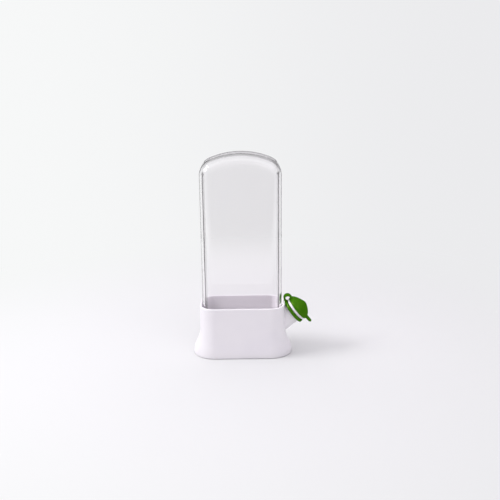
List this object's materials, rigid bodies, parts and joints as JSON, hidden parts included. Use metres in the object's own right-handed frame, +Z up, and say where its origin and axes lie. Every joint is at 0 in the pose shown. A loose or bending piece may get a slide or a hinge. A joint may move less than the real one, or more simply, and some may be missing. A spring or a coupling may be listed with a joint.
{
  "type": "herb keeper",
  "caption": "Slim upright herb keeper: white flared water base with a sloping filler spout and leaf-shaped cap, and a clear capsule with a sliding front panel.",
  "frame": {"origin": "centre of the base's underside, on the surface it stands on", "axes": "+Z up, +X towards the filler spout, -Y is the front with the sliding panel"},
  "size_m": [0.1635, 0.06, 0.278],
  "materials": {
    "base_white": "satin",
    "plate_white": "matt",
    "clear_plastic": "clear, polished",
    "leaf_green": "soft satin silicone"
  },
  "bodies": {
    "base": {"base_body": "base_white", "bottom_plate": "plate_white", "cap_collar": "leaf_green", "cap_strap": "leaf_green"},
    "capsule": {"back_shell": "clear_plastic"},
    "front_door": {"front_panel": "clear_plastic"},
    "cap": {"leaf_cap": "leaf_green"}
  },
  "joints": [
    {"name": "capsule_lift", "type": "slide", "parent": "base", "child": "capsule", "axis": [0, 0, 1], "range_m": [0, 0.06]},
    {"name": "door_slide", "type": "slide", "parent": "capsule", "child": "front_door", "axis": [0, 0, 1], "range_m": [0, 0.23]},
    {"name": "cap_hinge", "type": "hinge", "parent": "base", "child": "cap", "pos_m": [0.06246, 0, 0.07666], "axis": [0, -1, 0], "range_deg": [0, 110], "deforming": ["cap_strap"]}
  ]
}
